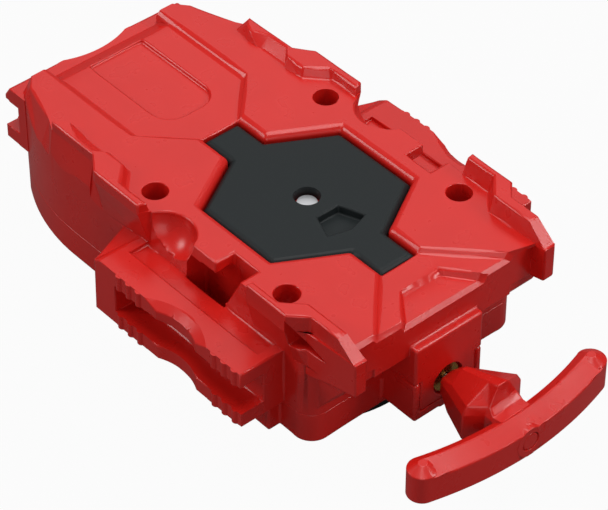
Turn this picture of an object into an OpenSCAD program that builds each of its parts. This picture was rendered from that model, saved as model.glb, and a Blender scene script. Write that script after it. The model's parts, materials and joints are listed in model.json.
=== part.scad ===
// String-pull launcher for spinning tops.
// A pulled string turns a spring-loaded reel, and a gear train spins the claw hub under the body.
// +X is the pull direction, +Z is up, and the origin is the seat of the top socket on the spin axis.

/* [Body] */
// Half width of the body at the seam
body_half = 25.6; // [24.6:0.2:28]
// Distance from the spin axis to the front wall
front_len = 30; // [29:0.5:34]
// Clear space behind the reel gear
back_gap = 6.5; // [5:0.1:12]
// Distance behind the reel's axle where the sides start to taper
taper_start = 6; // [3:0.5:9]
// Radius of the tapered sides behind the reel
taper_r = 42; // [36:0.5:60]
// Radius of the two front corners
front_r = 4; // [3:0.1:8]
// Thickness of the side walls
wall = 2.2; // [1.6:0.1:2.8]
// Thickness of the floor
floor_t = 2; // [1.6:0.1:3]
// Height of the lower housing below the seam
lower_h = 6.6; // [5.6:0.1:8]
// Free height above the gears
headroom = 4.4; // [3.6:0.1:8]
// Thickness of the wall under the top plate
top_wall = 2; // [1.6:0.1:3]

/* [Cover] */
// Height of the side panels above the top plate
panel_rise = 1; // [0.6:0.1:1.6]
// Height of the sloped shoulder of the cover
shoulder_h = 8; // [6:0.1:9]
// Depth of the front wall under the cover's brow
brow_h = 10; // [9:0.1:11.5]
// Reach of the brow past the front wall
brow_reach = 7; // [5:0.1:8]
// Height of the back fins
back_fin_h = 2; // [1:0.1:4]
// Height of the front fins
front_fin_h = 3.6; // [2:0.1:5]
// Depth of the step at the front of the cover
step_d = 1.4; // [0.8:0.1:2]
// Depth of the sunk field behind the plate
groove_d = 0.5; // [0.3:0.1:0.8]
// Radius of the front corners of the sunk field
groove_r = 4.5; // [2:0.1:6]
// Radius of the finger scoops
scoop_r = 6.5; // [5:0.1:7]
// Length of the side windows at the rail
window_len = 11; // [8:0.1:12]
// Width of the side windows
window_w = 5; // [4.4:0.1:5.4]

/* [Top plate] */
// Length of the plate over its tabs
plate_len = 50; // [46:0.2:51]
// Half width of the tabs
tab_half = 4.44; // [3.5:0.02:5.5]
// Corner radius of the six-sided middle
hex_r = 19.77; // [18:0.01:20.5]
// Thickness of the plate
plate_t = 2.4; // [2:0.1:3]
// Chamfer of the plate and of its pocket
plate_ch = 0.8; // [0.4:0.1:1]
// Radius of the centre hole
eye_r = 2.55; // [2.3:0.05:3.2]
// Distance of the five-sided hole ahead of the spin axis
key_x = 5.75; // [5:0.05:6.4]
// Length of the five-sided hole
key_len = 6.4; // [5:0.1:6.8]
// Width of the five-sided hole
key_w = 8.9; // [6:0.1:10]
// Depth of the five-sided hole
key_d = 1.8; // [1:0.1:1.9]

/* [Accessory rails] */
// Distance the side rails run behind the spin axis
rail_back = 17.2; // [14:0.1:20]
// Distance the side rails run ahead of the spin axis
rail_front = 23; // [18:0.5:24]
// Reach of the side rails from the body
rail_reach = 10; // [8:0.1:12]
// Depth of the rail slots
slot_d = 5.2; // [4.6:0.1:6]
// Height of the rail slots
slot_h = 6.4; // [6:0.1:6.8]
// Thickness of the upper rail lip
lip_t = 3.3; // [2.8:0.1:3.6]
// Reach of the back rail from the body
back_rail_reach = 4.4; // [4.2:0.1:6]
// Depth of the back rail's slot
back_slot_d = 4.2; // [4:0.1:4.3]
// Half length of the back rail
back_rail_half = 21; // [18:0.5:22]
// Length of the finger waist in the side rails
waist_len = 17.3; // [12:0.1:20]
// Depth of the finger waist in each rail
waist_d = 1.3; // [0.8:0.1:2]
// Depth of the waist's bevel in the side rails
waist_bevel = 1.7; // [0.8:0.1:2.4]
// Radius of the grip ribs
rib_r = 0.9; // [0.5:0.1:1.2]

/* [Nozzle] */
// Half width of the string nozzle
nozzle_half = 8.2; // [7:0.1:9]
// Reach of the nozzle past the front wall
nozzle_reach = 8.8; // [8:0.1:10]
// Height of the string at the nozzle
string_z = 10.7; // [10.4:0.1:11]
// Height of the nozzle above the string
nozzle_rise = 11.5; // [10:0.1:12]
// Depth of the nozzle below the string
nozzle_fall = 6.1; // [5.6:0.1:6.6]
// Radius of the nozzle's mouth
mouth_r = 3.5; // [3.3:0.05:3.8]
// Depth of the nozzle's mouth
mouth_d = 1.2; // [0.8:0.1:1.6]
// Radius of the eyelet's bore
eyelet_r = 0.9; // [0.85:0.05:1.2]
// Wall of the eyelet
eyelet_t = 1.2; // [0.9:0.1:1.3]
// Length of the eyelet's barrel
eyelet_len = 3.4; // [2.5:0.1:4]

/* [Handle] */
// Half length of the grip bar
bar_half = 23.6; // [20:0.1:26]
// Thickness of the grip bar
bar_t = 5.75; // [5:0.05:7]
// Height of the grip bar
bar_h = 7.35; // [6.8:0.05:9]
// Radius of the front of the grip bar
bar_front_r = 75; // [60:0.5:100]
// Drop of the bar's bottom below the string
bar_drop = 3.3; // [2.8:0.1:3.6]
// Length of the stalk from the nozzle to the bar
stalk_len = 15.3; // [14:0.1:18]
// Half width of the stalk at its widest
stalk_half = 7.25; // [6:0.05:7.6]
// Height of the stalk's ridge above the string
stalk_rise = 8.9; // [8:0.1:10]
// Radius of the plug in the bar's front
plug_r = 1.9; // [1.6:0.1:2.2]

/* [Gear train] */
// Module of the gears
gear_m = 1; // [0.94:0.02:1.02]
// Teeth on the reel gear
reel_teeth = 36; // [34:1:36]
// Teeth on the idler
idler_teeth = 12; // [12:1:13]
// Teeth on the hub pinion
pinion_teeth = 12; // [12:1:13]
// Face width of the gears
gear_h = 4; // [3:0.1:5]
// Backlash at the pitch circle
gear_lash = 0.3; // [0.2:0.02:0.5]

/* [Reel] */
// Radius of the reel's drum
drum_r = 13; // [12:0.1:13.4]
// Wall of the reel's drum
drum_t = 1.4; // [1:0.1:1.8]
// Radius of the reel's lower flange
flange_r = 17.5; // [16.6:0.1:18]
// Thickness of the reel's lower flange
flange_t = 1.1; // [0.9:0.1:1.6]
// Diameter of the string
string_d = 1; // [0.8:0.05:1.1]
// Rise of the string for each turn on the drum
turn_rise = 1.45; // [1.44:0.01:1.6]
// Thickness of the rewind spring's strip
strip_t = 0.4; // [0.2:0.05:0.5]
// Radius of the reel's axle
axle_r = 2.5; // [2:0.1:2.7]

/* [Launch hub] */
// Radius of the hub's disc
hub_r = 16.5; // [15.6:0.1:17]
// Thickness of the hub's disc
hub_t = 2.2; // [1.8:0.1:3]
// Radius of the top socket
socket_r = 5; // [3.6:0.1:6]
// Depth of the top socket
socket_d = 3; // [2:0.1:3.6]
// Wall of the top socket
socket_t = 1.8; // [1.2:0.1:2.4]
// Drop of the claws below the socket's seat
claw_drop = 4.5; // [4:0.1:4.7]
// Radial thickness of the claws
claw_t = 3; // [2:0.1:3.6]
// Outer radius of the guard ring
guard_r = 25; // [24.4:0.1:26]
// Drop of the guard ring below the socket's seat
guard_drop = 5; // [4.8:0.1:6]
// Radius of the hub's shaft
shaft_r = 2; // [1.6:0.1:2.1]
// Thickness of the thrust washer
washer_t = 0.6; // [0.4:0.1:1]

/* [Fasteners] */
// Distance of the case screws ahead of and behind the spin axis
screw_x = 18.5; // [17.6:0.1:19.4]
// Distance of the case screws from the centre line
screw_y = 20.9; // [20.4:0.1:21.2]
// Radius of the case screws' heads
head_r = 2.2; // [1.9:0.05:2.3]
// Radius of the case screws' shanks
shank_r = 1.2; // [0.9:0.05:1.4]
// Radius of the guard screws' heads
guard_head_r = 1.9; // [1.6:0.05:2]
// Radius of the guard screws' shanks
guard_shank_r = 1; // [0.8:0.05:1.1]
// Radius of the idler's pin
pin_r = 1.5; // [1.2:0.1:1.8]

/* [Hidden] */
// Clearance of a running fit
fit = 0.05;
// Clearance between pieces that must not touch
gap = 0.3;
// Overrun of a cut past a face
over = 0.5;
$fn = 64;

// Gear geometry
pressure_angle = 25;
addendum_share = 0.9;
dedendum_share = 1.15;
flank_steps = 4;
// Share of the straight distance that the bent gear train spans
train_share = 0.9167;
reel_pitch_r = gear_m * reel_teeth / 2;
idler_pitch_r = gear_m * idler_teeth / 2;
pinion_pitch_r = gear_m * pinion_teeth / 2;
reel_tip_r = reel_pitch_r + addendum_share * gear_m;
reel_to_idler = reel_pitch_r + idler_pitch_r;
idler_to_hub = idler_pitch_r + pinion_pitch_r;
reel_dist = (reel_to_idler + idler_to_hub) * train_share;
idler_bend = acos((pow(idler_to_hub, 2) + pow(reel_dist, 2) - pow(reel_to_idler, 2))
    / (2 * idler_to_hub * reel_dist));
idler_at = [-idler_to_hub * cos(idler_bend), -idler_to_hub * sin(idler_bend)];
reel_at = [-reel_dist, 0];
mesh_one = atan2(idler_at[1], idler_at[0] + reel_dist);
mesh_two = atan2(-idler_at[1], -idler_at[0]);
idler_phase = mesh_one + 180 + 180 / idler_teeth;
pinion_phase = mesh_two + 180 + 180 / pinion_teeth
    - (idler_phase - mesh_two) * idler_teeth / pinion_teeth;

// Heights from the socket's seat upwards
washer_play = 0.1;
floor_z = hub_t + washer_t + 2 * washer_play;
deck_z = floor_z + floor_t;
seam_z = floor_z + lower_h;
reel_z = deck_z + gap;
drum_z = reel_z + flange_t;
turns = 5.5;
rings_per_turn = 24;
tube_sides = 6;
wind_side_gap = 0.4;
wind_h = turns * turn_rise + string_d;
drum_h = wind_h + 2 * wind_side_gap;
gear_z = drum_z + drum_h;
gear_top = gear_z + gear_h;
ceiling_z = gear_top + headroom;
pocket_z = ceiling_z + top_wall;
plate_z = pocket_z + plate_t;
panel_z = plate_z + panel_rise;
shoulder_z = panel_z - shoulder_h;
brow_z = panel_z - brow_h;

// Lengths of the body
back_x = reel_dist + reel_tip_r + back_gap + wall;
taper_x = reel_dist + taper_start;
nozzle_x = front_len + nozzle_reach;
brow_x = front_len + brow_reach;
// Inner half width beside the hub, where the side windows stand outside
throat_half = screw_y - head_r;
throat_back = screw_x - head_r;
throat_front = screw_x - head_r;

// Outlines of the cover, as shares of the body's length ahead of or behind the axis and of its half width
// The tail's low outline lies outside the body, whose curved wall cuts it
tail_low_shares = [[-1.04, 0.9], [-0.97, 0.96], [-0.81, 0.98], [-0.743, 1], [-0.535, 1.02]];
tail_top_shares = [[-1.01, 0.66], [-0.954, 0.775], [-0.787, 0.9], [-0.743, 0.957], [-0.535, 0.957]];
nose_low_shares = [[-0.535, 1], [-0.472, 1], [-0.258, 1], [-0.24, 1], [0.467, 1], [0.5, 1],
    [0.853, 1], [0.957, 0.977]];
nose_top_shares = [[-0.535, 0.957], [-0.472, 1.07], [-0.258, 1.07], [-0.24, 0.985], [0.467, 0.985],
    [0.5, 1.07], [0.853, 1.07], [0.957, 0.95]];
brow_side_share = 0.945;
// Fins, as shares of the same lengths: inner foot, outer edge and inner crest, from the back forwards
back_fin_foot_shares = [[-0.762, 0.828], [-0.697, 0.816], [-0.632, 0.8125], [-0.547, 0.8125],
    [-0.503, 0.8125], [-0.426, 0.82], [-0.355, 0.977], [-0.246, 0.98]];
back_fin_edge_shares = [[-0.743, 0.957], [-0.697, 0.957], [-0.632, 0.957], [-0.547, 0.957],
    [-0.535, 0.957], [-0.472, 1.07], [-0.368, 1.07], [-0.258, 1.07]];
back_fin_crest_shares = [[-0.719, 0.879], [-0.697, 0.855], [-0.632, 0.926], [-0.547, 0.93],
    [-0.51, 0.855], [-0.437, 0.855], [-0.374, 1.004], [-0.25, 1]];
front_fin_foot_shares = [[0.507, 0.961], [0.74, 0.961], [0.87, 0.82], [0.933, 0.822], [1.347, 0.84]];
front_fin_low_edge_shares = [[0.5, 1.07], [0.75, 1.07], [0.853, 1.07], [0.957, 0.949], [1.347, 0.945]];
front_fin_crest_shares = [[0.507, 1.016], [0.733, 1.016], [0.867, 0.867], [0.93, 0.865], [1.177, 0.863]];
front_fin_top_edge_shares = [[0.5, 1.07], [0.75, 1.07], [0.853, 1.07], [0.957, 0.949], [1.177, 0.945]];
// Lugs under the front fins, as shares of the same lengths
lug_inner_shares = [[0.867, 0.84], [1.347, 0.84]];
lug_outer_shares = [[0.867, 0.98], [1.347, 0.945]];
lug_drop = 2.5;
// Chin that slopes from the front wall up to the brow
chin_rise = 1.6;
chin_set = 0.4;
chin_side_share = 0.91;
// Undercut below each front fin, with its floor above the ceiling and the lean of its roof
ear_shares = [[0.843, 0.895], [1.1, 0.955]];
ear_edge_share = 1.2;
ear_lean_share = 1.42;
ear_floor = 1.2;
ear_z = ceiling_z + ear_floor;

// Channels ahead of and behind the plate
back_channel_half = 13.3;
front_channel_half = 16.6;
groove_half = 6.5;
groove_front_share = 0.542;
groove_back_share = 0.93;
step_back_half = 4.6;
step_front_half = 9.6;
step_back_share = 1.035;

// Tongue, scoop and window beside the plate
tongue_half = 4.1;
tongue_t = 2.6;
scoop_x = 8.3;
window_front_x = 7;
window_lean = 4;
window_inner = throat_half + wall;
window_depth = 11.5;

// Rails, whose lower lips reach down to the seam
rail_top = shoulder_z + over;
rail_end_t = 4.5;
rail_tail = 1.6;
rail_slant = 4.7;
rail_dip = 1;
rail_trim = 2;
rail_trough = 0.8;
rail_trough_w = 4.2;
low_lip_t = rail_top - lip_t - slot_h - seam_z - fit;
waist_x = 4.9;
waist_bevel_h = 1.2;
back_waist_len = 20;
rib_sink_share = 0.5;
rib_gap = 2;
rib_pitch = 2.8;
rib_count = 3;
back_rail_drop = 3;
back_rail_top = panel_z - back_rail_drop;
back_edge_bevel = 1.5;
back_edge_bevel_h = 2.2;
// Webs of the lower housing under the side rails
web_w = 2.7;
web_set = 1.1;

// Screws
head_t = 1.6;
head_seat_rise = 10;
head_seat_z = seam_z + head_seat_rise;
screw_tip_floor = 1;
screw_tip_z = floor_z + screw_tip_floor;
cross_len_share = 0.6;
cross_w_share = 0.2;
boss_wall = 1.6;
guard_screw_r = 21.6;
guard_screw_angle = 70;
guard_head_t = 1.3;
guard_seat = 1;
guard_bite = 5;

// Shafts, bosses and fits
shaft_proud = 0.9;
shaft_top_z = pocket_z + shaft_proud;
bush_t = 1.6;
bush_flange_t = 1;
bush_flange_w = 1.2;
sleeve_w = 1.4;
boss_r = 3.2;
clip_t = 0.7;
clip_w = 1.6;
clip_slot = 2;
hole_depth = 1.4;
spring_turns = 7;
spring_steps = 16;
chamber_r = drum_r - drum_t;
chamber_lip = 0.8;
peg_r = 1.4;
peg_x = 14.6;
peg_len = 1.6;

// String path: off the drum at the tangent towards the eyelet, then straight into the handle
wind_r = (drum_r + string_d / 2 + fit) / cos(180 / rings_per_turn);
wind_low_z = drum_z + wind_side_gap + string_d / 2;
wind_high_z = wind_low_z + turns * turn_rise;
eyelet_x = nozzle_x - mouth_d - eyelet_len;
leave_angle = 90 - asin(wind_r / (eyelet_x + reel_dist));
leave_at = reel_at + wind_r * [cos(leave_angle), sin(leave_angle)];
eyelet_flange_t = 0.6;
eyelet_flange_w = 1;
// Split of the nozzle, with a bib of the cover that hangs between two cheeks of the lower housing
split_rise = 2.9;
split_z = string_z + split_rise;
cheek_t = 1.5;
bib_half = nozzle_half - cheek_t;
bib_back = 1;
bib_t = mouth_d + eyelet_len + bib_back;
bib_fall = 4;
bib_z = string_z - bib_fall;

// Stalk and bar of the handle
stalk_x = nozzle_x + gap;
bar_back_x = stalk_x + stalk_len;
bar_front_x = bar_back_x + bar_t;
bar_z = string_z - bar_drop;
bar_mid_r = bar_front_r - bar_t / 2;
bar_sweep = asin((bar_half - bar_t / 2) / bar_mid_r);
bar_section_shares = [[0, 0], [1, 0], [1, 0.8], [0.35, 1], [0, 0.83]];
bar_end_share = 0.83;
bar_tip_share = 0.3;
// Stalk sections from the tip to the bar: share of its length, then half widths and heights
// of the ridge, shoulder, cheek, flank and keel
stalk_shares = [
    [0, [[0.08, 0.21], [0.28, 0.17], [0.33, 0.1], [0.33, -0.15], [0.22, -0.21]]],
    [0.235, [[0.08, 0.607], [0.44, 0.37], [0.54, 0.19], [0.54, -0.37], [0.36, -0.505]]],
    [0.706, [[0.14, 0.876], [0.87, 0.573], [1, 0.382], [1, -0.27], [0.745, -0.39]]],
    [0.876, [[0.15, 1], [0.455, 0.573], [0.58, 0.382], [0.58, -0.27], [0.414, -0.39]]],
    [0.9, [[0.15, 0.59], [0.455, 0.56], [0.58, 0.38], [0.58, -0.27], [0.414, -0.385]]],
    [0.974, [[0.15, 0.446], [0.48, 0.438], [0.54, 0.326], [0.54, -0.27], [0.414, -0.34]]],
    [1.1, [[0.15, 0.444], [0.48, 0.436], [0.54, 0.326], [0.54, -0.27], [0.414, -0.34]]]];
plug_t = 1.2;
plug_wall = 1.3;
plug_boss_len = 2;
plug_ch = 0.25;
knot_r = 1.3;
knot_x = bar_front_x - plug_t - 2 * knot_r - gap;

lead_in = 2 * string_d;

// Claws of the hub, with the spans in degrees
claw_span = 34;
hook_span = 58;
hook_share = 0.4;

// Five-sided hole of the plate
key_back_share = 0.57;
key_shoulder_share = 0.8;

// Turns of string on the drum, from its anchor at the bottom up to where it leaves
wind_count = turns * rings_per_turn;
wind_turns = [for (i = [0 : wind_count]) let (a = leave_angle + 360 * (wind_count - i) / rings_per_turn)
    [wind_r * cos(a), wind_r * sin(a), wind_low_z + turns * turn_rise * i / wind_count]];
wind_start = wind_turns[0] + string_d * [-sin(leave_angle + 360 * turns), cos(leave_angle + 360 * turns), 0];
wind_path = concat([wind_start], wind_turns);
wind_least = min([for (i = [0 : wind_count - rings_per_turn], j = [i + rings_per_turn - 1 : wind_count])
    norm(wind_turns[i] - wind_turns[j])]) - string_d;
echo(least_gap_in_the_winding = wind_least);

// Place of a share point on the body
function place(s) = [s[0] * (s[0] < 0 ? back_x : front_len), s[1] * body_half];
function places(list) = [for (s = list) place(s)];
function at_z(list, z) = [for (p = list) [p[0], p[1], z]];
// Half outline of the plate from back to front, grown by a margin
function plate_front(m) = let (h = hex_r + m / cos(30), t = tab_half + m, e = plate_len / 2 + m)
    [[h / 2, h * sin(60)], [h - t / tan(60), t], [e, t]];
function plate_half(m) = let (q = plate_front(m)) concat([for (i = [2 : -1 : 0]) [-q[i][0], q[i][1]]], q);
function plate_outline(m) = let (h = plate_half(m))
    concat([for (p = h) [p[0], -p[1]]], [for (i = [len(h) - 1 : -1 : 0]) h[i]]);

// Solid through a row of sections with one count of corners, listed along +X
module beam(rows) {
    n = len(rows);
    sides = len(rows[0]);
    skin = [for (i = [0 : n - 2], k = [0 : sides - 1]) let (j = sides * i, m = (k + 1) % sides)
        each [[j + k, j + sides + m, j + m], [j + k, j + sides + k, j + sides + m]]];
    last = sides * (n - 1);
    ends = [for (k = [1 : sides - 2]) each [[0, k, k + 1], [last, last + k + 1, last + k]]];
    polyhedron(points = [for (r = rows) each r], faces = concat(skin, ends));
}

// Beam from an inner and an outer edge, low and high
module ridge(low_inner, low_outer, high_outer, high_inner) {
    beam([for (i = [0 : len(low_inner) - 1]) [low_inner[i], low_outer[i], high_outer[i], high_inner[i]]]);
}

// Slab across the centre line between two half outlines
module slab(low, high, low_z, high_z) {
    ridge([for (p = low) [p[0], -p[1], low_z]], at_z(low, low_z),
        at_z(high, high_z), [for (p = high) [p[0], -p[1], high_z]]);
}

// Involute gear outline
function tan_less_angle(a) = tan(a) - a * PI / 180;
function half_tooth(r, pitch_r, teeth) =
    let (base_r = pitch_r * cos(pressure_angle), a = r > base_r ? acos(base_r / r) : 0)
    90 / teeth - gear_lash / 4 / pitch_r * 180 / PI
        + (tan_less_angle(pressure_angle) - tan_less_angle(a)) * 180 / PI;
function gear_points(teeth) = let (pitch_r = gear_m * teeth / 2, root_r = pitch_r - dedendum_share * gear_m,
        tip_r = pitch_r + addendum_share * gear_m, flank = (tip_r - root_r) / flank_steps)
    [for (i = [0 : teeth - 1], side = [-1, 1], k = [0 : flank_steps])
        let (r = root_r + flank * (side < 0 ? k : flank_steps - k),
            a = 360 * i / teeth + side * half_tooth(r, pitch_r, teeth))
        r * [cos(a), sin(a)]];

module gear(teeth) {
    linear_extrude(gear_h) polygon(gear_points(teeth));
}

// Plan of the body: straight sides, round front corners and sides that taper behind the reel
module body_plan(inset = 0) {
    half = body_half - inset;
    front = front_len - inset;
    r = front_r - inset;
    translate([-taper_x, -half]) square([taper_x + front - r, 2 * half]);
    translate([0, r - half]) square([front, 2 * (half - r)]);
    for (s = [-1, 1]) translate([front - r, s * (half - r)]) circle(r);
    intersection() {
        translate([inset - back_x, -half]) square([back_x - taper_x, 2 * half]);
        body_side_circle(1, inset);
        body_side_circle(-1, inset);
    }
}

module body_side_circle(s, inset) {
    translate([-taper_x, s * (body_half - taper_r)]) circle(taper_r - inset, $fn = 180);
}

// Plan of the hollow inside, narrow beside the hub
module hollow_plan() {
    difference() {
        body_plan(wall);
        for (s = [-1, 1]) translate([-throat_back, s > 0 ? throat_half : -body_half])
            square([throat_back + throat_front, body_half - throat_half]);
        for (p = screw_places()) translate(p) circle(head_r + gap + boss_wall);
    }
}

function screw_places() = [for (x = [-1, 1], y = [-1, 1]) [x * screw_x, y * screw_y]];
function guard_places() = [for (a = [guard_screw_angle, 180 - guard_screw_angle], s = [-1, 1])
    guard_screw_r * [cos(a), s * sin(a)]];

// Height of the underside of a rail
function rail_low(top) = top - lip_t - slot_h - low_lip_t;

// Accessory rail along +X on the +Y side of a wall at y = base, with a waist about x = mid
module rail(from, to, mid, base, reach, top, length, bevel) {
    low = rail_low(top);
    edge = base + reach;
    deep = waist_d + bevel;
    away = (pow(length / 2, 2) - pow(deep, 2)) / (2 * deep);
    difference() {
        union() {
            translate([from, base - wall, low]) cube([to - from, reach + wall, top - low]);
            for (s = [-1, 1], i = [0 : rib_count - 1])
                translate([mid + s * (length / 2 + rib_gap + i * rib_pitch), edge - rib_r * rib_sink_share, low + fit])
                    cylinder(r = rib_r, h = top - low - 2 * fit, $fn = 24);
        }
        translate([mid, edge + away, low - over])
            cylinder(r = away + waist_d, h = top - low + 2 * over, $fn = 96);
        translate([mid, edge + away, top - waist_bevel_h])
            cylinder(r1 = away + waist_d, r2 = away + deep + bevel, h = 2 * waist_bevel_h, $fn = 96);
    }
}

// Slot of a rail, open at its front end
module rail_slot(from, to, edge, depth, top) {
    translate([from, edge - depth, rail_low(top) + low_lip_t])
        cube([to - from + over, depth + rib_r + over, slot_h]);
}

// Closed back end of a side rail, slanted towards the body
module rail_end() {
    low = rail_low(rail_top);
    edge = body_half + rail_reach;
    root = body_half - wall;
    outer = -rail_back - rail_tail;
    beam([[[outer - rail_slant, root, low], [outer, edge, low], [outer, edge, rail_top - rail_dip],
            [outer - rail_slant, root, rail_top - rail_dip]],
        [[-rail_back, root, low], [-rail_back, edge, low], [-rail_back, edge, rail_top],
            [-rail_back, root, rail_top]]]);
}

module cover_outside() {
    translate([0, 0, seam_z]) linear_extrude(shoulder_z - seam_z) body_plan();
    brow_edge = [brow_x, brow_side_share * body_half];
    slab(concat(places(nose_low_shares), [brow_edge]), concat(places(nose_top_shares), [brow_edge]),
        shoulder_z, panel_z);
    intersection() {
        translate([0, 0, seam_z]) linear_extrude(panel_z) body_plan();
        slab(places(tail_low_shares), places(tail_top_shares), shoulder_z, panel_z);
    }
    translate([front_len - front_r - over, -front_channel_half, brow_z])
        cube([brow_reach + front_r + over, 2 * front_channel_half, shoulder_z - brow_z + over]);
    for (s = [0, 1]) mirror([0, s, 0]) {
        back_edge = places(back_fin_edge_shares);
        ridge(at_z(places(back_fin_foot_shares), panel_z - over), at_z(back_edge, panel_z - over),
            at_z(back_edge, panel_z + back_fin_h), at_z(places(back_fin_crest_shares), panel_z + back_fin_h));
        ridge(at_z(places(front_fin_foot_shares), panel_z - over),
            at_z(places(front_fin_low_edge_shares), panel_z - over),
            at_z(places(front_fin_top_edge_shares), panel_z + front_fin_h),
            at_z(places(front_fin_crest_shares), panel_z + front_fin_h));
        inner = places(lug_inner_shares);
        outer = places(lug_outer_shares);
        low = [shoulder_z - lug_drop, shoulder_z + over];
        ridge([for (i = [0, 1]) [inner[i][0], inner[i][1], low[i]]],
            [for (i = [0, 1]) [outer[i][0], outer[i][1], low[i]]],
            at_z(outer, panel_z - fit), at_z(inner, panel_z - fit));
        rail(-rail_back, rail_front, waist_x, body_half, rail_reach, rail_top, waist_len, waist_bevel);
        rail_end();
    }
    rotate([0, 0, 90]) difference() {
        rail(-back_rail_half, back_rail_half, 0, back_x, back_rail_reach, back_rail_top, back_waist_len, fit);
        edge = back_x + back_rail_reach;
        beam([for (x = [-back_rail_half - over, back_rail_half + over])
            [[x, edge + rib_r, back_rail_top - back_edge_bevel_h], [x, edge + rib_r, back_rail_top + over],
                [x, edge - back_edge_bevel, back_rail_top + over], [x, edge - back_edge_bevel, back_rail_top],
                [x, edge, back_rail_top - back_edge_bevel_h]]]);
    }
    chin = [front_len - over, chin_side_share * body_half, seam_z + chin_rise];
    lip = brow_x - chin_set;
    beam([[[chin.x, -chin.y, chin.z], [chin.x, chin.y, chin.z], [chin.x, chin.y, shoulder_z + over],
            [chin.x, -chin.y, shoulder_z + over]],
        [[lip, -chin.y, brow_z], [lip, chin.y, brow_z], [lip, chin.y, shoulder_z + over],
            [lip, -chin.y, shoulder_z + over]]]);
    translate([front_len - front_r - over, -nozzle_half, split_z])
        cube([nozzle_reach + front_r + over, 2 * nozzle_half, nozzle_rise - split_rise]);
}

// Sunk parts of the cover's top: plate pocket, channels, step and groove
module cover_top_cuts() {
    translate([0, 0, pocket_z]) linear_extrude(panel_rise + plate_t + over) polygon(plate_outline(0));
    slab(plate_half(0), plate_half(plate_ch + over), plate_z, panel_z + over);
    flare = plate_ch + over;
    tab = plate_len / 2;
    back_end = back_x + back_rail_reach;
    spread = back_channel_half - tab_half;
    slab([[-back_end, back_channel_half], [-tab - spread, back_channel_half], [-tab, tab_half]],
        [[-back_end, back_channel_half + flare], [-tab - spread, back_channel_half + flare],
            [-tab, tab_half + flare]], plate_z, panel_z + over);
    front_low = front_channel_half - plate_ch;
    slab([[tab, tab_half], [brow_x, front_low], [brow_x + over, front_low]],
        [[tab, tab_half + flare], [brow_x, front_low + flare], [brow_x + over, front_low + flare]],
        plate_z, panel_z + over);
    slab([[front_len * step_back_share, step_back_half], [brow_x + over, step_front_half]],
        [[front_len * step_back_share - plate_ch, step_back_half],
            [brow_x + over, step_front_half + plate_ch]], plate_z - step_d, plate_z + fit);
    translate([0, 0, plate_z - groove_d]) linear_extrude(groove_d + over) groove_plan();
    slope = back_x * groove_back_share;
    beam([[[-back_x - fit, -back_channel_half, back_rail_top], [-back_x - fit, back_channel_half, back_rail_top],
            [-back_x - fit, back_channel_half, plate_z + over], [-back_x - fit, -back_channel_half, plate_z + over]],
        [[-slope, -back_channel_half, plate_z], [-slope, back_channel_half, plate_z],
            [-slope, back_channel_half, plate_z + over], [-slope, -back_channel_half, plate_z + over]]]);
}

// Sunk field behind the plate, open to the back
module groove_plan() {
    from = -back_x * groove_back_share - over;
    to = -back_x * groove_front_share;
    translate([from, -groove_half]) square([to - from - groove_r, 2 * groove_half]);
    translate([from, groove_r - groove_half]) square([to - from, 2 * (groove_half - groove_r)]);
    for (s = [-1, 1]) translate([to - groove_r, s * (groove_half - groove_r)]) circle(groove_r);
}

// Finger scoop, tongue and latch window on the +Y side
module cover_side_cuts() {
    translate([-scoop_x, body_half + wall, panel_z - gap]) sphere(scoop_r);
    outer = window_inner + window_w;
    back = window_front_x - window_len;
    low = rail_top - window_depth;
    translate([back, window_inner, low]) cube([window_len, window_w, panel_z - tongue_t - low]);
    front = window_front_x + window_lean;
    beam([[[tongue_half, window_inner, rail_top], [tongue_half, outer, rail_top],
            [tongue_half, outer, panel_z + over], [tongue_half, window_inner, panel_z + over]],
        [[window_front_x, window_inner, rail_top], [window_front_x, outer, rail_top],
            [front, outer, panel_z + over], [front, window_inner, panel_z + over]]]);
    ear_out = ear_edge_share * body_half;
    beam([for (p = places(ear_shares)) [[p[0], p[1], ear_z], [p[0], ear_out, ear_z],
        [p[0], ear_out, ear_z + (ear_out - p[1]) * ear_lean_share], [p[0], p[1], ear_z + fit]]]);
    rail_slot(rail_end_t - rail_back, rail_front, body_half + rail_reach, slot_d, rail_top);
    translate([rail_trim - rail_back, body_half, rail_top - rail_trough])
        cube([rail_back + rail_front - 2 * rail_trim, min(rail_trough_w, rail_reach - slot_d), rail_trough + over]);
}

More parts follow.
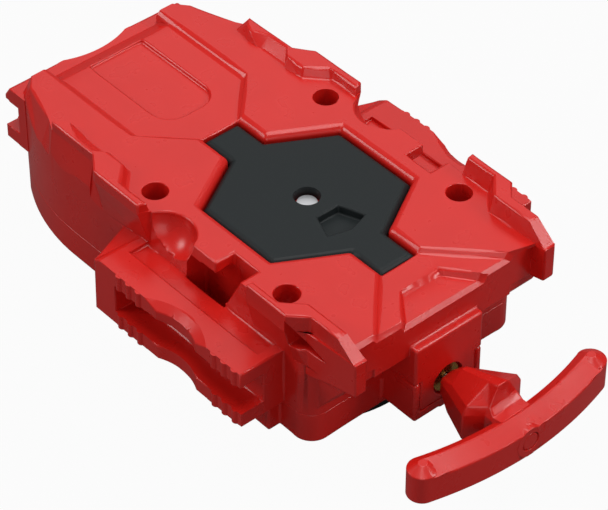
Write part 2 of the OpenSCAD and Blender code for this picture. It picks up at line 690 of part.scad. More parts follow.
module upper_cover() {
    color([0.84, 0.14, 0.12]) difference() {
        union() {
            difference() {
                cover_outside();
                translate([0, 0, seam_z - over]) linear_extrude(ceiling_z - seam_z + over) hollow_plan();
                translate([front_len - front_r - over, -nozzle_half - fit, seam_z - over])
                    cube([nozzle_reach + front_r + 2 * over, 2 * (nozzle_half + fit), split_z - seam_z + over]);
            }
            translate([nozzle_x - bib_t, -bib_half, bib_z]) cube([bib_t, 2 * bib_half, split_z - bib_z + over]);
            translate([0, 0, gear_top + clip_t + 2 * gap])
                cylinder(r = shaft_r + fit + boss_wall, h = ceiling_z - gear_top - clip_t - 2 * gap + over);
            for (p = [idler_at, reel_at]) translate([p[0], p[1], gear_top + gap])
                cylinder(r = boss_r + boss_wall, h = ceiling_z - gear_top - gap + over);
        }
        cover_top_cuts();
        for (s = [0, 1]) mirror([0, s, 0]) cover_side_cuts();
        for (p = screw_places()) translate(p) {
            translate([0, 0, head_seat_z]) cylinder(r = head_r + gap, h = panel_z + front_fin_h + over);
            translate([0, 0, seam_z - over]) cylinder(r = shank_r + gap, h = head_seat_z);
        }
        cylinder(r = shaft_r + fit, h = plate_z);
        translate([idler_at[0], idler_at[1], 0]) cylinder(r = pin_r + fit, h = ceiling_z - gap);
        translate([reel_at[0], reel_at[1], 0]) cylinder(r = axle_r + fit, h = ceiling_z - gap);
        for (s = [-1, 1]) translate([s * peg_x, 0, 0]) cylinder(r = peg_r + fit, h = plate_z);
        rotate([0, 0, 90]) rail_slot(-back_rail_half - over, back_rail_half, back_x + back_rail_reach, back_slot_d,
            back_rail_top);
        string_tunnel();
    }
}

// Way for the string through the nozzle, with the seat of the eyelet and the round mouth
module string_tunnel() {
    wide = wind_r * (eyelet_x - front_len + front_r) / (eyelet_x + reel_dist) + string_d + gap;
    tall = string_d + 2 * gap;
    translate([front_len - front_r - over, -wide, string_z - tall])
        cube([eyelet_x - front_len + front_r + over, 2 * wide, 2 * tall]);
    translate([eyelet_x - over, 0, string_z]) rotate([0, 90, 0])
        cylinder(r = eyelet_r + eyelet_t + fit, h = eyelet_len + 2 * over);
    translate([nozzle_x - mouth_d, 0, string_z]) rotate([0, 90, 0]) cylinder(r = mouth_r, h = mouth_d + over);
}

module lower_housing() {
    color([0.8, 0.12, 0.11]) difference() {
        union() {
            difference() {
                union() {
                    translate([0, 0, floor_z]) linear_extrude(lower_h) body_plan();
                    translate([0, -nozzle_half, string_z - nozzle_fall])
                        cube([nozzle_x, 2 * nozzle_half, nozzle_fall + split_rise]);
                    for (s = [0, 1]) mirror([0, s, 0]) translate([rail_end_t - rail_back, body_half - wall, floor_z])
                        cube([rail_back + rail_front - rail_end_t - web_set, wall + web_w, lower_h]);
                }
                translate([0, 0, deck_z]) linear_extrude(string_z) hollow_plan();
                translate([nozzle_x - bib_t - fit, -bib_half - fit, bib_z - fit])
                    cube([bib_t + fit + over, 2 * (bib_half + fit), split_z - bib_z + over]);
            }
            translate([idler_at[0], idler_at[1], deck_z - over])
                cylinder(r = boss_r, h = gear_z - gap - deck_z + over);
        }
        for (p = screw_places()) translate([p[0], p[1], screw_tip_z - gap])
            cylinder(r = shank_r + fit, h = lower_h);
        for (p = guard_places()) translate([p[0], p[1], floor_z - over])
            cylinder(r = guard_shank_r + fit, h = guard_bite + gap + over);
        translate([0, 0, floor_z - over]) cylinder(r = shaft_r + bush_t + 2 * fit, h = floor_t + 2 * over);
        translate([idler_at[0], idler_at[1], deck_z - hole_depth]) cylinder(r = pin_r + fit, h = gear_z);
        translate([reel_at[0], reel_at[1], deck_z - hole_depth]) cylinder(r = axle_r + fit, h = gear_z);
        string_tunnel();
    }
}

module top_plate() {
    color([0.18, 0.2, 0.2]) difference() {
        union() {
            translate([0, 0, pocket_z]) linear_extrude(plate_t - plate_ch) polygon(plate_outline(-gap));
            slab(plate_half(-gap), plate_half(-gap - plate_ch), plate_z - plate_ch, plate_z);
            for (s = [-1, 1]) translate([s * peg_x, 0, pocket_z - peg_len])
                cylinder(r = peg_r, h = peg_len + over);
        }
        translate([0, 0, pocket_z - over]) cylinder(r = eye_r, h = plate_t + 2 * over);
        translate([key_x, 0, plate_z - key_d]) linear_extrude(key_d + over) key_plan();
    }
}

// Five-sided hole with its point towards the handle
module key_plan() {
    back = key_w / 2 * key_back_share;
    polygon([[0, -back], [key_len * key_shoulder_share, -key_w / 2], [key_len, 0],
        [key_len * key_shoulder_share, key_w / 2], [0, back]]);
}

// Pan-head screw pointing down, head seat at the origin
module screw(r_head, t_head, r_shank, length) {
    translate([0, 0, -length]) cylinder(r = r_shank, h = length + over, $fn = 24);
    difference() {
        cylinder(r = r_head, h = t_head, $fn = 32);
        for (a = [0, 90]) rotate([0, 0, a])
            translate([-r_head * cross_len_share, -r_shank * cross_w_share, t_head / 2])
                cube([2 * r_head * cross_len_share, 2 * r_shank * cross_w_share, t_head]);
    }
}

module case_screws() {
    color([0.62, 0.63, 0.65]) for (p = screw_places()) translate([p[0], p[1], head_seat_z])
        screw(head_r, head_t, shank_r, head_seat_z - screw_tip_z);
}

module guard_ring() {
    cut_h = guard_drop + floor_z + 2 * over;
    color([0.17, 0.18, 0.2]) difference() {
        translate([0, 0, -guard_drop]) cylinder(r = guard_r, h = guard_drop + floor_z, $fn = 128);
        translate([0, 0, -guard_drop - over]) cylinder(r = hub_r + 2 * gap, h = cut_h, $fn = 128);
        for (p = guard_places()) translate([p[0], p[1], -guard_drop - over]) {
            cylinder(r = guard_shank_r + fit, h = cut_h);
            cylinder(r = guard_head_r + gap, h = guard_drop - guard_seat + over);
        }
    }
}

module guard_screws() {
    color([0.62, 0.63, 0.65]) for (p = guard_places())
        translate([p[0], p[1], -guard_seat]) rotate([180, 0, 0])
            screw(guard_head_r, guard_head_t, guard_shank_r, guard_seat + floor_z + guard_bite);
}

// Hub with the top socket and two hooked claws
module launch_hub() {
    color([0.2, 0.21, 0.22]) difference() {
        union() {
            cylinder(r = hub_r, h = hub_t, $fn = 96);
            translate([0, 0, -socket_d]) cylinder(r = socket_r + socket_t, h = socket_d + over);
            for (a = [0, 180]) rotate([0, 0, a]) claw();
        }
        translate([0, 0, -socket_d - over]) cylinder(r = socket_r, h = socket_d + over);
        translate([0, 0, -over]) cylinder(r = shaft_r + fit, h = hub_t + 2 * over);
    }
}

module claw() {
    translate([0, 0, -claw_drop]) rotate([0, 0, -claw_span / 2]) rotate_extrude(angle = claw_span, $fn = 96)
        translate([hub_r - claw_t - gap, 0]) square([claw_t, claw_drop + over]);
    translate([0, 0, -claw_drop]) rotate([0, 0, -claw_span / 2]) rotate_extrude(angle = hook_span, $fn = 96)
        translate([hub_r - claw_t - gap, 0]) square([claw_t, claw_drop * hook_share]);
}

module hub_shaft() {
    color([0.78, 0.79, 0.8]) cylinder(r = shaft_r, h = shaft_top_z, $fn = 48);
}

module hub_bush() {
    color([0.72, 0.56, 0.3]) translate([0, 0, floor_z]) difference() {
        union() {
            cylinder(r = shaft_r + bush_t + fit, h = floor_t);
            translate([0, 0, floor_t]) cylinder(r = shaft_r + bush_t + bush_flange_w, h = bush_flange_t);
        }
        translate([0, 0, -over]) cylinder(r = shaft_r + fit, h = floor_t + bush_flange_t + 2 * over);
    }
}

module thrust_washer() {
    color([0.75, 0.75, 0.76]) translate([0, 0, hub_t + washer_play]) difference() {
        cylinder(r = shaft_r + bush_t + bush_flange_w, h = washer_t);
        translate([0, 0, -over]) cylinder(r = shaft_r + fit, h = washer_t + 2 * over);
    }
}

module hub_pinion() {
    sleeve_z = deck_z + bush_flange_t + gap;
    color([0.9, 0.89, 0.84]) difference() {
        union() {
            translate([0, 0, gear_z]) rotate([0, 0, pinion_phase]) gear(pinion_teeth);
            translate([0, 0, sleeve_z]) cylinder(r = shaft_r + sleeve_w, h = gear_z - sleeve_z + over);
        }
        translate([0, 0, sleeve_z - over]) cylinder(r = shaft_r + fit, h = gear_top - sleeve_z + 2 * over);
    }
}

module shaft_clip() {
    color([0.6, 0.6, 0.62]) translate([0, 0, gear_top + gap]) difference() {
        cylinder(r = shaft_r + clip_w, h = clip_t);
        translate([0, 0, -over]) cylinder(r = shaft_r + fit, h = clip_t + 2 * over);
        translate([0, -clip_slot / 2, -over]) cube([shaft_r + clip_w + over, clip_slot, clip_t + 2 * over]);
    }
}

module idler_gear() {
    color([0.9, 0.89, 0.84]) translate([idler_at[0], idler_at[1], gear_z]) difference() {
        rotate([0, 0, idler_phase]) gear(idler_teeth);
        translate([0, 0, -over]) cylinder(r = pin_r + fit, h = gear_h + 2 * over);
    }
}

module idler_pin() {
    color([0.78, 0.79, 0.8]) translate([idler_at[0], idler_at[1], deck_z - hole_depth + fit])
        cylinder(r = pin_r, h = ceiling_z - gap - deck_z + hole_depth - 2 * fit);
}

module string_reel() {
    color([0.92, 0.91, 0.87]) translate([reel_at[0], reel_at[1], reel_z]) difference() {
        union() {
            cylinder(r = flange_r, h = flange_t, $fn = 96);
            cylinder(r = drum_r, h = flange_t + drum_h, $fn = 96);
        }
        translate([0, 0, flange_t]) cylinder(r = chamber_r, h = drum_h + over, $fn = 96);
        translate([0, 0, -over]) cylinder(r = axle_r + fit, h = flange_t + 2 * over);
    }
}

module reel_gear() {
    color([0.88, 0.87, 0.82]) translate([reel_at[0], reel_at[1], gear_z]) difference() {
        union() {
            rotate([0, 0, mesh_one]) gear(reel_teeth);
            translate([0, 0, -chamber_lip]) cylinder(r = chamber_r - fit, h = chamber_lip + over, $fn = 96);
        }
        translate([0, 0, -chamber_lip - over])
            cylinder(r = axle_r + fit, h = gear_h + chamber_lip + 2 * over);
    }
}

module reel_axle() {
    color([0.78, 0.79, 0.8]) translate([reel_at[0], reel_at[1], deck_z - hole_depth + fit])
        cylinder(r = axle_r, h = ceiling_z - gap - deck_z + hole_depth - 2 * fit);
}

// Flat strip wound as a spiral between the axle and the drum
module rewind_spring() {
    inner = axle_r + gap + strip_t / 2;
    outer = chamber_r - gap - strip_t / 2;
    steps = spring_turns * spring_steps;
    mid = [for (i = [0 : steps]) let (a = 360 * i / spring_steps) [inner + (outer - inner) * i / steps, a]];
    edge = concat([for (p = mid) (p[0] + strip_t / 2) * [cos(p[1]), sin(p[1])]],
        [for (i = [steps : -1 : 0]) (mid[i][0] - strip_t / 2) * [cos(mid[i][1]), sin(mid[i][1])]]);
    color([0.5, 0.55, 0.62]) translate([reel_at[0], reel_at[1], drum_z + gap])
        linear_extrude(drum_h - chamber_lip - 2 * gap) polygon(edge);
}

// Tube of triangles along a list of points, with a ring of points around each
module tube(path, radius, sides) {
    n = len(path);
    beam([for (i = [0 : n - 1]) let (a = path[max(i - 1, 0)], b = path[min(i + 1, n - 1)],
            t = (b - a) / norm(b - a), u = cross([0, 0, 1], t) / norm(cross([0, 0, 1], t)), v = cross(t, u))
        [for (k = [0 : sides - 1]) path[i] + radius * (cos(360 * k / sides) * u + sin(360 * k / sides) * v)]]);
}

module string_winding() {
    color([0.93, 0.9, 0.8]) translate([reel_at[0], reel_at[1], 0]) tube(wind_path, string_d / 2, tube_sides);
}

// String from the drum through the eyelet and the stalk to the knot
module string_lead() {
    run = [sin(leave_angle), -cos(leave_angle)];
    start = leave_at + gap * run;
    level = leave_at + lead_in * run;
    path = [[start[0], start[1], wind_high_z], [level[0], level[1], wind_high_z],
        [eyelet_x - lead_in, 0, string_z], [eyelet_x + lead_in, 0, string_z], [knot_x - gap, 0, string_z]];
    color([0.93, 0.9, 0.8]) tube(path, string_d / 2, tube_sides + 2);
}

module string_eyelet() {
    color([0.78, 0.6, 0.28]) translate([eyelet_x, 0, string_z]) rotate([0, 90, 0]) difference() {
        union() {
            cylinder(r = eyelet_r + eyelet_t, h = eyelet_len);
            translate([0, 0, eyelet_len])
                cylinder(r = eyelet_r + eyelet_t + eyelet_flange_w, h = eyelet_flange_t);
        }
        translate([0, 0, -over]) cylinder(r = eyelet_r, h = eyelet_len + eyelet_flange_t + 2 * over);
    }
}

// One section of the stalk, from the keel up the +Y side and down the -Y side
function stalk_row(at, shares) = let (x = stalk_x + at * stalk_len)
    concat([for (i = [len(shares) - 1 : -1 : 0])
            [x, shares[i][0] * stalk_half, string_z + shares[i][1] * stalk_rise]],
        [for (p = shares) [x, -p[0] * stalk_half, string_z + p[1] * stalk_rise]]);

// Bowed grip bar on a faceted stalk
module pull_handle() {
    color([0.84, 0.14, 0.12]) difference() {
        union() {
            grip_bar();
            beam([for (s = stalk_shares) stalk_row(s[0], s[1])]);
            translate([bar_front_x - plug_boss_len, 0, string_z]) rotate([0, 90, 0])
                cylinder(r = plug_r + plug_wall, h = plug_boss_len, $fn = 48);
        }
        translate([stalk_x - over, 0, string_z]) rotate([0, 90, 0])
            cylinder(r = string_d / 2 + gap, h = bar_front_x - stalk_x, $fn = 24);
        translate([knot_x - gap, 0, string_z]) rotate([0, 90, 0])
            cylinder(r = plug_r + fit, h = bar_front_x - knot_x + gap + over, $fn = 32);
    }
}

// Five-sided section swept about a far axis, with round ends
module grip_bar() {
    translate([bar_front_x - bar_front_r, 0, bar_z]) {
        rotate([0, 0, -bar_sweep]) rotate_extrude(angle = 2 * bar_sweep, $fn = 180)
            polygon([for (s = bar_section_shares) [bar_front_r + (s[0] - 1) * bar_t, s[1] * bar_h]]);
        for (a = [-bar_sweep, bar_sweep]) rotate([0, 0, a]) translate([bar_mid_r, 0, 0]) {
            cylinder(r = bar_t / 2, h = bar_h * bar_end_share, $fn = 48);
            translate([0, 0, bar_h * bar_end_share])
                cylinder(r1 = bar_t / 2, r2 = bar_t / 2 * bar_tip_share, h = bar_h * (1 - bar_end_share), $fn = 48);
        }
    }
}

module string_knot() {
    color([0.93, 0.9, 0.8]) translate([knot_x + knot_r, 0, string_z]) sphere(knot_r, $fn = 24);
}

module handle_plug() {
    color([0.84, 0.14, 0.12]) translate([bar_front_x - plug_t - fit, 0, string_z]) rotate([0, 90, 0]) {
        cylinder(r = plug_r, h = plug_t - plug_ch, $fn = 32);
        translate([0, 0, plug_t - plug_ch]) cylinder(r1 = plug_r, r2 = plug_r - plug_ch, h = plug_ch, $fn = 32);
    }
}

upper_cover();
lower_housing();
top_plate();
case_screws();
guard_ring();
guard_screws();
launch_hub();
hub_shaft();
hub_bush();
thrust_washer();
hub_pinion();
shaft_clip();
idler_gear();
idler_pin();
string_reel();
reel_gear();
reel_axle();
rewind_spring();
string_winding();
string_lead();
string_eyelet();
pull_handle();
string_knot();
handle_plug();
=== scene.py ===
import json
import math

import bmesh
import bpy
from bpy.props import FloatProperty, FloatVectorProperty, IntProperty, PointerProperty
from mathutils import Matrix, Vector
from mathutils.bvhtree import BVHTree
from mathutils.geometry import intersect_point_line
from mathutils.kdtree import KDTree


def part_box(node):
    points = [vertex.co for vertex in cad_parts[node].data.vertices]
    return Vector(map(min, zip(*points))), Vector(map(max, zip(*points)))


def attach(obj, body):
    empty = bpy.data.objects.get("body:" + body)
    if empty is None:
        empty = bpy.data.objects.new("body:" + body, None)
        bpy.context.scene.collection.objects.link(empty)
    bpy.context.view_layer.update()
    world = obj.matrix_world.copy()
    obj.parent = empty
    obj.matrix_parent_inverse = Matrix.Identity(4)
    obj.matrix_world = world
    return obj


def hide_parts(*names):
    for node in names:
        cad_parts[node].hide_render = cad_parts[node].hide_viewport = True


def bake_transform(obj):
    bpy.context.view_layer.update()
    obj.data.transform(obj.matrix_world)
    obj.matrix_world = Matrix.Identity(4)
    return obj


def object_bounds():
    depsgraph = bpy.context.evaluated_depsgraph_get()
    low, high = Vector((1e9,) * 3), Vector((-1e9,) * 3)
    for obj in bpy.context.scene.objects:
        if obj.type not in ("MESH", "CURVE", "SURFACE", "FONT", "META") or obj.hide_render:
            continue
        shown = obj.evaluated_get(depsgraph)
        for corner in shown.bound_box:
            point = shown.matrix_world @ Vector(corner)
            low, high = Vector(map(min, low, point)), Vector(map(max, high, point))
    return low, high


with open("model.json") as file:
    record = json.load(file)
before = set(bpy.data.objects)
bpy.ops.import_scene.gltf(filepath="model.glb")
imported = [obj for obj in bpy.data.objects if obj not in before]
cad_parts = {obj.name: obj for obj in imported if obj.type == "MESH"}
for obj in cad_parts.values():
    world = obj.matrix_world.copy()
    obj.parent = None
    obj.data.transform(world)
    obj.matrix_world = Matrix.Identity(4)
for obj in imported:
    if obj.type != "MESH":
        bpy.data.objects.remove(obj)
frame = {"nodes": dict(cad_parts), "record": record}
CAD_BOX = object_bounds()

bl_info = {
    "name": "String-pull top launcher",
    "version": (1, 0, 0),
    "blender": (4, 5, 0),
    "location": "View3D > Sidebar > Launcher",
    "description": "Dresses the launcher's solids with moulded edges, finishes and a studio",
    "category": "Object",
}

MM = 0.001
NODES = frame["nodes"]
NODE_BODY = {
    node: body
    for body, nodes in frame["record"]["behaviour"]["bodies"].items()
    for node in nodes
}
MOUNTS = {mount["name"]: Vector(mount["pos_m"]) for mount in frame["record"]["mounts"]}
NODE_SLOT = {row["node"]: row["material_slot"] for row in frame["record"]["subparts"]}
# Width and height of the image that the camera frames, in pixels
IMAGE_SIZE = (608, 510)
# Diameter of the string and its turns on the drum
CORD = 1.0 * MM
DRUM_TURNS = 5.5
# Sides of the string's tube, and steps in each turn on the drum
CORD_SIDES = 12
TURN_STEPS = 40
# How far a point may lie from a place on a solid and still count as being there
NEAR = 0.05 * MM
# Height of the seam between the cover and the housing, and the share of rounding that its edges keep
SEAM_Z = 9.63 * MM
SEAM_SHARE = 0.2
# Groove behind the plate: its depth under the plate's top, and a line ahead of it and one beside it
GROOVE_DEPTH = 0.5 * MM
GROOVE_FRONT = -32 * MM
GROOVE_SIDE = 7 * MM
# Front face of the brow, and a height under its stepped top edge
BROW_X = 37 * MM
BROW_LOW = 27 * MM
# Cosine past which a face counts as facing the front
FACING = 0.99
# Sides of the round cutter that makes the back rail's waist
WAIST_SIDES = 96
# Distance under which points are merged, and angle under which faces are joined
MERGE_DISTANCE = 0.0005 * MM
FLAT_ANGLE = math.radians(0.5)
# Angle between two faces that makes their edge sharp, and a corner too wide to limit a rounding
SHARP_ANGLE = math.radians(28)
WIDE_CORNER = math.radians(150)
# Share of its room that a rounding takes, and the least share of the radius that is rounded at all
ROOM_SHARE = 0.42
LEAST_SHARE = 0.15
# Most that a rounding grows from one part of an edge to the next, as a share of the radius
TAPER_SHARE = 0.3
TAPER_PASSES = 4
# A rounded face is folded under this cosine to the solid's face, and a point strays past this share
FOLD_COSINE = -0.1
STRAY_SHARE = 0.6
# Times that a rounding is tested and mended, and how many of these halve it instead of dropping it
MEND_TRIES = 8
HALVING_TRIES = 2
# Radii round a bad spot where edges are mended at first, and the tries after which this widens
FIRST_REACH = 1.6
REACH_LAG = 0.4
# Angles in degrees past which the rounded pieces and the string are shaded sharp
PIECE_SHADE = 16
STRING_SHADE = 80


def linear(hex_colour):
    """Linear RGB of an sRGB hex colour."""
    channels = [int(hex_colour[i:i + 2], 16) / 255 for i in (1, 3, 5)]
    return tuple(c / 12.92 if c <= 0.04045 else ((c + 0.055) / 1.055) ** 2.4 for c in channels)


def colour(name, description, hex_colour):
    """Colour property with a linear default."""
    return FloatVectorProperty(
        name=name, description=description, subtype="COLOR", size=3, min=0, max=1,
        default=linear(hex_colour),
    )


def length(name, description, millimetres):
    """Length property with its default given in millimetres."""
    return FloatProperty(
        name=name, description=description, subtype="DISTANCE", unit="LENGTH",
        precision=5, min=0, default=millimetres * MM,
    )


class LauncherColours(bpy.types.PropertyGroup):
    """Colours of the launcher's materials."""

    red: colour("Red shell", "Main colour of the moulded shells and handle", "#d81f18")
    red_deep: colour("Deep red", "Darker red of the flow marks in the shells", "#cb1b15")
    charcoal: colour("Charcoal", "Colour of the top plate, ring and hub", "#212627")
    acetal: colour("Acetal", "Colour of the gears and the reel", "#e6e2d6")
    cord: colour("Cord", "Colour of the braided string", "#e9dfc6")
    floor: colour("Floor", "Colour of the studio floor", "#6e6e6e")


class LauncherSizes(bpy.types.PropertyGroup):
    """Sizes of the moulded edges, the cover's details, the string, the camera and the studio."""

    shell_edge: length("Shell edge", "Radius of the moulded edges on the red shells", 0.5)
    handle_edge: length("Handle edge", "Radius of the edges on the handle and its plug", 0.25)
    plate_edge: length("Plate edge", "Radius of the edges on the dark pieces", 0.3)
    metal_edge: length("Metal edge", "Radius of the edges on metal and gear pieces", 0.08)
    edge_steps: IntProperty(
        name="Edge steps", description="Segments across a rounded edge", min=1, max=4, default=2,
    )
    edge_part: length("Edge part", "Length of the parts that long edges are rounded in", 3)
    waist_depth: length("Waist depth", "Depth of the back rail's waist, from its outermost rib", 3.6)
    waist_radius: length("Waist radius", "Radius of the waist in the back rail's top edge", 18.6)
    groove_drop: length("Groove drop", "Depth added to the groove behind the plate", 0.4)
    brow_chamfer: length("Brow chamfer", "Width of the chamfer on the brow, along each face", 0.8)
    cord_strand: length("Cord strand", "Width of one strand of the braid", 0.28)
    camera_distance: length("Camera distance", "Distance from the camera to the top plate", 549.8)
    camera_azimuth: FloatProperty(
        name="Azimuth", description="Turn of the camera round the launcher",
        subtype="ANGLE", default=math.radians(48.845),
    )
    camera_elevation: FloatProperty(
        name="Elevation", description="Height of the camera over the horizon",
        subtype="ANGLE", default=math.radians(40.677),
    )
    focal_pixels: FloatProperty(
        name="Focal length", description="Focal length in pixels of the image", default=2990.6,
    )
    floor_size: length("Floor size", "Side of the square floor", 6000)


def node(tree, kind, inputs=None, **settings):
    """Adds a shader node, sets its properties, and fills or links its inputs."""
    made = tree.nodes.new(kind)
    for key, value in settings.items():
        setattr(made, key, value)
    for key, value in (inputs or {}).items():
        if isinstance(value, bpy.types.NodeSocket):
            tree.links.new(value, made.inputs[key])
        else:
            made.inputs[key].default_value = value
    return made


def material(name):
    """Empty node material, with its tree, its shader and its Object coordinates."""
    made = bpy.data.materials.new(name)
    made.use_nodes = True
    tree = made.node_tree
    tree.nodes.clear()
    shader = node(tree, "ShaderNodeBsdfPrincipled")
    node(tree, "ShaderNodeOutputMaterial", {"Surface": shader.outputs["BSDF"]})
    place = node(tree, "ShaderNodeTexCoord").outputs["Object"]
    return made, tree, shader, place


def per_metre(millimetres):
    """Texture scale that repeats once in a real size."""
    return 1 / (millimetres * MM)


def rgba(rgb, share=1.0):
    """Colour socket value, darkened by a share."""
    return (rgb[0] * share, rgb[1] * share, rgb[2] * share, 1)


def moulded_red_abs(colours):
    """Glossy ABS from a polished mould: a soft broad highlight, faint flow marks and slight sink."""
    made, tree, shader, place = material("moulded_red_abs")
    flow = node(tree, "ShaderNodeTexNoise", {"Vector": place, "Scale": per_metre(14), "Detail": 3.0})
    red = node(
        tree, "ShaderNodeMix",
        {0: flow.outputs["Fac"], 6: rgba(colours.red), 7: rgba(colours.red_deep)}, data_type="RGBA",
    )
    haze = node(tree, "ShaderNodeTexNoise", {"Vector": place, "Scale": per_metre(5), "Detail": 2.0})
    gloss = node(
        tree, "ShaderNodeMapRange",
        {"Value": haze.outputs["Fac"], "To Min": 0.24, "To Max": 0.33},
    )
    # The mould's polish is finer than a pixel, so its ripple is drawn coarse enough to show
    grain = node(tree, "ShaderNodeTexNoise", {"Vector": place, "Scale": per_metre(0.7), "Detail": 2.0})
    ripple = node(
        tree, "ShaderNodeBump",
        {"Height": grain.outputs["Fac"], "Strength": 0.03, "Distance": 0.02 * MM},
    )
    tree.links.new(red.outputs[2], shader.inputs["Base Color"])
    tree.links.new(gloss.outputs["Result"], shader.inputs["Roughness"])
    tree.links.new(ripple.outputs["Normal"], shader.inputs["Normal"])
    shader.inputs["IOR"].default_value = 1.53
    shader.inputs["Specular IOR Level"].default_value = 0.5
    return made


def textured_charcoal_abs(colours):
    """Dark ABS from a spark-textured mould: a fine even grain that breaks up the highlight."""
    made, tree, shader, place = material("textured_charcoal_abs")
    # Spark texture is about 0.1 mm, drawn at 0.35 mm so that it shows
    grain = node(tree, "ShaderNodeTexNoise", {"Vector": place, "Scale": per_metre(0.35), "Detail": 2.0})
    tone = node(
        tree, "ShaderNodeMix",
        {0: grain.outputs["Fac"], 6: rgba(colours.charcoal, 0.82), 7: rgba(colours.charcoal, 1.2)},
        data_type="RGBA",
    )
    gloss = node(
        tree, "ShaderNodeMapRange",
        {"Value": grain.outputs["Fac"], "To Min": 0.4, "To Max": 0.56},
    )
    pits = node(
        tree, "ShaderNodeBump",
        {"Height": grain.outputs["Fac"], "Strength": 0.2, "Distance": 0.02 * MM},
    )
    tree.links.new(tone.outputs[2], shader.inputs["Base Color"])
    tree.links.new(gloss.outputs["Result"], shader.inputs["Roughness"])
    tree.links.new(pits.outputs["Normal"], shader.inputs["Normal"])
    shader.inputs["IOR"].default_value = 1.53
    shader.inputs["Specular IOR Level"].default_value = 0.2
    return made


def turned_metal(name, hex_colour, low, high, line_mm):
    """Metal turned or drawn on a machine: fine lines that spread the highlight one way."""
    made, tree, shader, place = material(name)
    stretched = node(
        tree, "ShaderNodeMapping", {"Vector": place, "Scale": (1, 1, 12)}, vector_type="POINT",
    )
    lines = node(
        tree, "ShaderNodeTexNoise",
        {"Vector": stretched.outputs["Vector"], "Scale": per_metre(line_mm), "Detail": 3.0},
    )
    tone = node(
        tree, "ShaderNodeMix",
        {0: lines.outputs["Fac"], 6: rgba(linear(hex_colour), 0.85), 7: rgba(linear(hex_colour), 1.05)},
        data_type="RGBA",
    )
    gloss = node(
        tree, "ShaderNodeMapRange", {"Value": lines.outputs["Fac"], "To Min": low, "To Max": high},
    )
    tree.links.new(tone.outputs[2], shader.inputs["Base Color"])
    tree.links.new(gloss.outputs["Result"], shader.inputs["Roughness"])
    shader.inputs["Metallic"].default_value = 1.0
    return made


def moulded_acetal(colours):
    """Natural acetal: milky, slightly waxy, with a satin highlight."""
    made, tree, shader, place = material("moulded_acetal")
    cloud = node(tree, "ShaderNodeTexNoise", {"Vector": place, "Scale": per_metre(3), "Detail": 2.0})
    tone = node(
        tree, "ShaderNodeMix",
        {0: cloud.outputs["Fac"], 6: rgba(colours.acetal, 0.94), 7: rgba(colours.acetal)},
        data_type="RGBA",
    )
    gloss = node(
        tree, "ShaderNodeMapRange",
        {"Value": cloud.outputs["Fac"], "To Min": 0.36, "To Max": 0.46},
    )
    tree.links.new(tone.outputs[2], shader.inputs["Base Color"])
    tree.links.new(gloss.outputs["Result"], shader.inputs["Roughness"])
    shader.inputs["IOR"].default_value = 1.48
    shader.inputs["Subsurface Weight"].default_value = 0.1
    shader.inputs["Subsurface Radius"].default_value = (0.6 * MM, 0.5 * MM, 0.4 * MM)
    return made


def braided_nylon(colours, strand):
    """Braided nylon cord: crossing strands with a soft sheen, and painted shade in the dark lines between
    them.
    """
    made, tree, shader, place = material("braided_nylon")
    turns = []
    for slant in (1, -1):
        turned = node(
            tree, "ShaderNodeMapping", {"Vector": place, "Rotation": (0, 0, slant * math.radians(35))},
        )
        turns.append(node(
            tree, "ShaderNodeTexWave",
            {"Vector": turned.outputs["Vector"], "Scale": 1 / (strand * math.tau), "Distortion": 0.4},
        ))
    braid = node(
        tree, "ShaderNodeMath",
        {0: turns[0].outputs["Fac"], 1: turns[1].outputs["Fac"]}, operation="MAXIMUM",
    )
    # Painted shade: the cord's colour is darkened where the braid is low, in the grooves between the
    # strands
    tone = node(
        tree, "ShaderNodeMix",
        {0: braid.outputs["Value"], 6: rgba(colours.cord, 0.6), 7: rgba(colours.cord)},
        data_type="RGBA",
    )
    lay = node(
        tree, "ShaderNodeBump",
        {"Height": braid.outputs["Value"], "Strength": 0.5, "Distance": 0.1 * MM},
    )
    tree.links.new(tone.outputs[2], shader.inputs["Base Color"])
    tree.links.new(lay.outputs["Normal"], shader.inputs["Normal"])
    shader.inputs["Roughness"].default_value = 0.7
    shader.inputs["Sheen Weight"].default_value = 0.3
    return made


def studio_floor(colours):
    """Matt pale floor that the camera sees as white, with a soft shadow left on it."""
    made = bpy.data.materials.new("studio_floor")
    made.use_nodes = True
    tree = made.node_tree
    tree.nodes.clear()
    matt = node(tree, "ShaderNodeBsdfDiffuse", {"Color": rgba(colours.floor)})
    white = node(tree, "ShaderNodeEmission", {"Strength": 1.0})
    rays = node(tree, "ShaderNodeLightPath")
    share = node(
        tree, "ShaderNodeMath", {0: rays.outputs["Is Camera Ray"], 1: 0.96}, operation="MULTIPLY")
    mixed = node(
        tree, "ShaderNodeMixShader",
        {0: share.outputs["Value"], 1: matt.outputs["BSDF"], 2: white.outputs["Emission"]},
    )
    node(tree, "ShaderNodeOutputMaterial", {"Surface": mixed.outputs["Shader"]})
    return made


